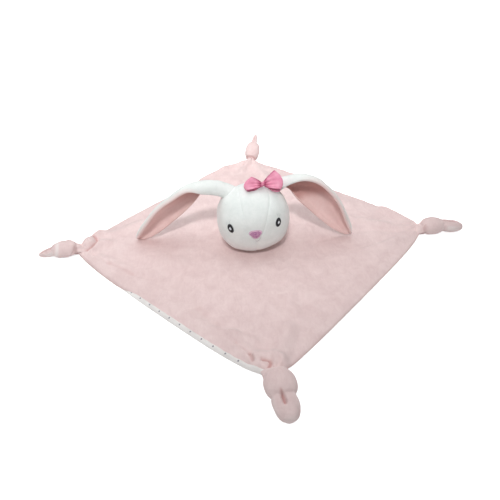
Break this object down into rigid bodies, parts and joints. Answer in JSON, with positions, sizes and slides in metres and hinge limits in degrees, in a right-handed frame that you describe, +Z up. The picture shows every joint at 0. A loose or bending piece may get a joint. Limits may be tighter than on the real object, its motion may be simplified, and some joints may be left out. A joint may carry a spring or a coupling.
{
  "type": "comfort blanket lovey",
  "caption": "Baby comforter: a stuffed bunny head with long drooping ears and a satin bow, sewn to the middle of a square velour blanket with a knot in each corner.",
  "frame": {"origin": "on the floor under the flat middle of the blanket, midway between the necks of the four corner knots", "axes": "+X to the right knot, -Y to the front knot, +Z up from the floor through the head"},
  "size_m": [0.4737, 0.4646, 0.0909],
  "materials": {
    "pink_velour": "soft short pile, matte",
    "white_velour": "soft short pile, matte",
    "dotted_jersey": "smooth knit, matte, with a few grey dots",
    "polyester_filling": "loose fibre",
    "white_thread": "sewing thread",
    "black_thread": "satin-stitched thread, slight sheen",
    "highlight_thread": "satin-stitched thread, slight sheen",
    "mauve_thread": "satin-stitched thread, slight sheen",
    "grey_thread": "sewing thread",
    "pink_satin": "satin ribbon, soft sheen"
  },
  "bodies": {
    "blanket": {"blanket_top": "pink_velour", "blanket_backing": "dotted_jersey", "head_attachment_stitches": "white_thread"},
    "head": {"head_panel_left": "white_velour", "head_panel_right": "white_velour", "head_gusset": "white_velour", "head_stuffing": "polyester_filling", "eye_left": "black_thread", "eye_highlight_left": "highlight_thread", "eye_right": "black_thread", "eye_highlight_right": "highlight_thread", "lash_left_1": "black_thread", "lash_left_2": "black_thread", "lash_left_3": "black_thread", "lash_right_1": "black_thread", "lash_right_2": "black_thread", "lash_right_3": "black_thread", "nose": "mauve_thread", "mouth_stitch": "grey_thread", "bow_loop_left": "pink_satin", "bow_loop_right": "pink_satin", "bow_centre_wrap": "pink_satin"},
    "ear_left": {"ear_left_back": "white_velour", "ear_left_lining": "pink_velour"},
    "ear_right": {"ear_right_back": "white_velour", "ear_right_lining": "pink_velour"},
    "corner_right": {"corner_knot_right": "pink_velour", "corner_tail_right": "pink_velour"},
    "corner_back": {"corner_knot_back": "pink_velour", "corner_tail_back": "pink_velour"},
    "corner_left": {"corner_knot_left": "pink_velour", "corner_tail_left": "pink_velour"},
    "corner_front": {"corner_knot_front": "pink_velour", "corner_tail_front": "pink_velour"}
  },
  "joints": [
    {"name": "head_tilt", "type": "hinge", "parent": "blanket", "child": "head", "pos_m": [0.0011, 0.016, 0.0031], "axis": [-1, 0, 0], "range_deg": [0, 35]},
    {"name": "ear_left_lift", "type": "hinge", "parent": "head", "child": "ear_left", "pos_m": [-0.01743, 0.00938, 0.06847], "axis": [0, 1, 0], "range_deg": [0, 80]},
    {"name": "ear_right_lift", "type": "hinge", "parent": "head", "child": "ear_right", "pos_m": [0.01761, 0.01322, 0.06862], "axis": [0, -1, 0], "range_deg": [0, 40]},
    {"name": "corner_right_lift", "type": "hinge", "parent": "blanket", "child": "corner_right", "pos_m": [0.19378, 0.00304, 0.01133], "axis": [0.0035, -1, 0], "range_deg": [0, 75]},
    {"name": "corner_back_lift", "type": "hinge", "parent": "blanket", "child": "corner_back", "pos_m": [0.01163, 0.18934, 0.00991], "axis": [0.9573, -0.289, 0], "range_deg": [0, 40]},
    {"name": "corner_left_lift", "type": "hinge", "parent": "blanket", "child": "corner_left", "pos_m": [-0.1938, -0.00034, 0.01133], "axis": [-0.2011, 0.9796, 0], "range_deg": [0, 75]},
    {"name": "corner_front_lift", "type": "hinge", "parent": "blanket", "child": "corner_front", "pos_m": [0.00473, -0.19374, 0.01133], "axis": [-0.9877, -0.1564, 0], "range_deg": [0, 75]}
  ]
}
